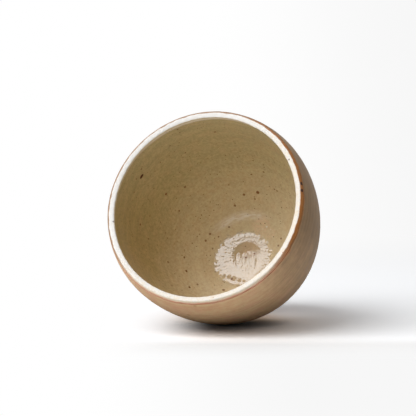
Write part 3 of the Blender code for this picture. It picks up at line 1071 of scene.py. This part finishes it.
class TEACUP_OT_clay_body(bpy.types.Operator):
    """Throw the clay body, which shows at the rust line and above the foot."""

    bl_idname = "teacup.clay_body"
    bl_label = "Clay Body"

    def execute(self, context):
        sizes, finishes, studio = settings(context)
        line, depth = clay_line(sizes)
        wall = strayed(line, thrown(sizes, line) + tilted_well(sizes, line) - depth[:, None])
        wall[:, :, 0] += swaying_well(sizes, line)
        across = np.linspace(wall[-1, :, 0].mean(), 0.3 * MM, STATIONS["underside"])[1:]
        under = np.column_stack([across, np.full_like(across, sizes.foot_height)])
        outline = np.concatenate([wall, np.repeat(under[:, None, :], TURN_STEPS, axis=1)])
        mesh = turned_mesh("clay_body_wall", outline, travelled(outline[:, 0]), False)
        pits = spot_places(mesh, sizes, studio, pits=LIP_PITS)["pits"]
        sides = fired_sides(studio)
        material = clay_material("rust_clay", finishes, sides, finishes.rust, finishes.salmon, pits)
        placed("clay_body_wall", mesh, material, "clay_body")
        return {"FINISHED"}


class TEACUP_OT_foot_ring(bpy.types.Operator):
    """Turn the bare foot ring."""

    bl_idname = "teacup.foot_ring"
    bl_label = "Foot Ring"

    def execute(self, context):
        sizes, finishes, studio = settings(context)
        line = foot_line(sizes)
        outline = np.repeat(line[:, None, :], TURN_STEPS, axis=1)
        mesh = turned_mesh("turned_foot", outline, travelled(line), True)
        sides = fired_sides(studio)
        material = clay_material("foot_clay", finishes, sides, finishes.foot_clay, finishes.sand)
        placed("turned_foot", mesh, material, "foot_ring")
        return {"FINISHED"}


def touching_point(sizes, studio):
    """Point of the wall that lies on the floor: the farthest one against the floor's normal."""
    normal = studio_axes(studio)[0]
    side = level_way(normal)
    radius, height = outer_line(sizes).T
    points = np.column_stack([-side.x * radius, -side.y * radius, height])
    return Vector(points[(points @ np.array(normal)).argmin()])


class FloorRecipe(Recipe):
    """Material of the floor, on which places are measured from the contact, where the cup touches it."""

    def __init__(self, name, contact, right, level):
        super().__init__(bpy.data.materials.new(name))
        self.contact, self.right, self.level = contact, right, level
        self.across = self.less(self.sideways(right), contact.dot(right))
        self.ahead = self.less(self.sideways(level), contact.dot(level))
        self.away = self.away_from(contact)
        self.seen = self.add("ShaderNodeLightPath").outputs["Is Camera Ray"]

    def span(self, name, value, at_high=1.0, at_low=0.0):
        """Smooth step of a value over a named span."""
        return self.share(value, *FLOOR_SPANS[name], at_high, at_low)

    def round_place(self, shift_right, shift_ahead, span, share):
        """Smooth step towards the middle of a round place."""
        middle = self.contact + self.right * shift_right + self.level * shift_ahead
        return self.share(self.away_from(middle), *span, share)

    def glow(self, strength):
        """White light."""
        return self.add("ShaderNodeEmission", {"Color": WHITE, "Strength": strength}).outputs[0]

    def blend(self, share, first, second):
        """One shader over another by a share."""
        return self.add("ShaderNodeMixShader", {0: share, 1: first, 2: second}).outputs[0]

    def whiteness(self, studio):
        """Strength of the plain white, which is less in a wedge to the right: a painted fall-off of the
        light.

        The wedge opens from a point on the floor in front of the cup. Nearer to the camera than the
        contact, a straight band takes its place.
        """
        dimmed = 1.0 - studio.floor_dimming
        beyond = self.larger(self.less(studio.floor_wedge, self.ahead), DIM_LEAST)
        wedge = self.share(self.maths("DIVIDE", self.across, beyond), *DIM_SLOPES, dimmed, 1.0)
        band = self.span("dim_to_the_right", self.across, dimmed, 1.0)
        return self.scaled(self.span("dim_in_front", self.ahead), self.less(band, wedge), wedge)

    def camera_colour(self, studio):
        """Colour to the camera: cool on the left, greyer in front and darkened by a painted shadow by the
        contact.
        """
        warm, cool = ([studio.floor_white * part for part in parts] for parts in FLOOR_TINTS)
        colour = self.mix(self.span("cool_to_the_left", self.across), warm, cool)
        front = self.mix(self.near(self.across, 0.0, FRONT_REACH), *map(grey, FRONT_GREYS))
        colour = self.mix(self.span("grey_in_front", self.ahead), colour, front)
        return self.mix(self.round_place(*PAINTED_CONTACT_SHADOW), colour, grey(0.0))

    def faint_glow(self, studio):
        """Faint light behind the contact and near it, which the camera doesn't see."""
        strength = self.span("glow_behind", self.ahead, studio.floor_glow)
        strength = self.times(strength, self.span("glow_round_it", self.away))
        return self.glow(self.times(strength, self.less(1.0, self.seen)))

    def plain_share(self):
        """Share of plain white: far off, in front, to the left, where it is painted light over the shadow,
        and in a painted lit place behind the contact.
        """
        share = self.span("white_far_off", self.away)
        share = self.larger(share, self.span("white_in_front", self.ahead))
        share = self.larger(share, self.span("painted_light_to_the_left", self.across))
        return self.larger(share, self.round_place(*PAINTED_LIT_PLACE))


def floor_material(studio, contact, right, level):
    """White floor: it keeps the shadow near the cup and is plain white to the camera further off.

    Light bounces off it as off grey near the contact. Its back is clear to the camera, so that the cup is
    seen through it from below.
    """
    recipe = FloorRecipe("floor", contact, right, level)
    bounced = recipe.mix(recipe.span("bounce_round_it", recipe.away), *map(grey, BOUNCE_GREYS))
    colour = recipe.mix(recipe.seen, bounced, recipe.camera_colour(studio))
    shadowed = recipe.add("ShaderNodeBsdfDiffuse", {"Color": colour}).outputs[0]
    shadowed = recipe.add("ShaderNodeAddShader", {0: shadowed, 1: recipe.faint_glow(studio)}).outputs[0]
    plain_share = recipe.times(recipe.plain_share(), recipe.seen)
    front = recipe.blend(plain_share, shadowed, recipe.glow(recipe.whiteness(studio)))
    clear = recipe.add("ShaderNodeBsdfTransparent").outputs[0]
    behind = recipe.add("ShaderNodeNewGeometry").outputs["Backfacing"]
    both = recipe.blend(recipe.times(behind, recipe.seen), front, clear)
    nodes = recipe.tree.nodes
    nodes.remove(nodes["Principled BSDF"])
    recipe.join(both, nodes["Material Output"].inputs["Surface"])
    return recipe.owner


class TEACUP_OT_stage(bpy.types.Operator):
    """Set up the floor, the lights and the camera."""

    bl_idname = "teacup.stage"
    bl_label = "Stage"

    def execute(self, context):
        scene = context.scene
        sizes, _, studio = settings(context)
        normal, right, up, towards = studio_axes(studio)
        level = right.cross(normal)
        scene.camera = self.make_camera(sizes, studio, Matrix((right, up, towards)))
        self.make_floor(sizes, studio, right, level)
        self.make_softbox(sizes, studio, normal, right, level)
        overhead = math.cos(studio.ambient_tilt) * normal - math.sin(studio.ambient_tilt) * right
        scene.world = self.make_world(studio, overhead, right)
        scene.view_settings.view_transform = "Standard"
        return {"FINISHED"}

    def make_camera(self, sizes, studio, axes):
        """Camera whose picture is as wide as the field at the mouth."""
        data = bpy.data.cameras.new("camera")
        data.sensor_width = SENSOR_WIDTH
        data.lens = SENSOR_WIDTH * studio.camera_distance / studio.field_width
        camera = linked("camera", data)
        turned = axes.transposed().to_4x4()
        camera.matrix_world = Matrix.Translation(camera_place(sizes, studio)) @ turned
        return camera

    def make_floor(self, sizes, studio, right, level):
        """Square floor round the point where the cup touches it."""
        middle = touching_point(sizes, studio)
        corners = [middle + (right * x + level * y) * studio.floor_reach
                   for x, y in ((-1, 1), (1, 1), (1, -1), (-1, -1))]
        mesh = bpy.data.meshes.new("floor")
        mesh.from_pydata(corners, [], [(0, 1, 2, 3)])
        mesh.materials.append(floor_material(studio, middle, right, level))
        floor = linked("floor", mesh)

    def make_softbox(self, sizes, studio, normal, right, level):
        """Square lamp to the left of the camera, facing the middle of the cup."""
        lamp = bpy.data.lights.new("softbox", "AREA")
        lamp.shape = "SQUARE"
        lamp.size = studio.key_side
        lamp.energy = studio.key_power
        flat = math.cos(studio.key_turn) * level - math.sin(studio.key_turn) * right
        way = math.cos(studio.key_rise) * flat + math.sin(studio.key_rise) * normal
        middle = Vector((0.0, 0.0, sizes.height / 2.0))
        across = Matrix.Rotation(studio.key_roll, 3, way) @ normal.cross(way).normalized()
        axes = Matrix((across, way.cross(across), way)).transposed().to_4x4()
        linked("softbox", lamp).matrix_world = Matrix.Translation(middle + way * studio.key_distance) @ axes

    def make_world(self, studio, overhead, right):
        """White to the camera and mirrors, less so to the right as a painted fall-off of the light; its other
        light grows towards overhead.
        """
        world = bpy.data.worlds.new("studio_white")
        recipe = Recipe(world, "Generated")
        ambient = recipe.share(recipe.sideways(overhead), 0.0, 1.0, studio.ambient_high, studio.ambient_low,
                               "LINEAR")
        path = recipe.add("ShaderNodeLightPath").outputs
        seen = recipe.larger(path["Is Camera Ray"], path["Is Glossy Ray"])
        seen = recipe.larger(seen, path["Is Transmission Ray"])
        whiteness = recipe.share(recipe.sideways(right), *DIM_SLOPES, 1.0 - studio.floor_dimming, 1.0)
        background = recipe.tree.nodes["Background"]
        background.inputs["Color"].default_value = WHITE
        strength = recipe.share(seen, 0.0, 1.0, whiteness, ambient, "LINEAR")
        recipe.join(strength, background.inputs["Strength"])
        return world


PIECE_OPERATORS = (
    TEACUP_OT_liner_glaze,
    TEACUP_OT_lip_glaze,
    TEACUP_OT_outer_glaze,
    TEACUP_OT_clay_body,
    TEACUP_OT_foot_ring,
    TEACUP_OT_stage,
)


class TEACUP_PT_pieces(bpy.types.Panel):
    """Sidebar panel that lists the cup's pieces."""

    bl_label = "Tea Cup"
    bl_idname = "TEACUP_PT_pieces"
    bl_space_type = "VIEW_3D"
    bl_region_type = "UI"
    bl_category = "Tea Cup"

    def draw(self, context):
        for operator in PIECE_OPERATORS:
            self.layout.operator(operator.bl_idname)


CLASSES = (TeaCupSizes, TeaCupFinishes, TeaCupStudio, *PIECE_OPERATORS, TEACUP_PT_pieces)


def register():
    """Register the classes and give every scene their settings."""
    for made in CLASSES:
        bpy.utils.register_class(made)
    bpy.types.Scene.tea_cup_sizes = PointerProperty(type=TeaCupSizes)
    bpy.types.Scene.tea_cup_finishes = PointerProperty(type=TeaCupFinishes)
    bpy.types.Scene.tea_cup_studio = PointerProperty(type=TeaCupStudio)


def unregister():
    """Take the settings and the classes away again."""
    del bpy.types.Scene.tea_cup_studio
    del bpy.types.Scene.tea_cup_finishes
    del bpy.types.Scene.tea_cup_sizes
    for made in reversed(CLASSES):
        bpy.utils.unregister_class(made)


def main():
    """Make every piece in order."""
    register()
    bpy.ops.teacup.liner_glaze()
    bpy.ops.teacup.lip_glaze()
    bpy.ops.teacup.outer_glaze()
    bpy.ops.teacup.clay_body()
    bpy.ops.teacup.foot_ring()
    bpy.ops.teacup.stage()


if __name__ == "__main__":
    main()
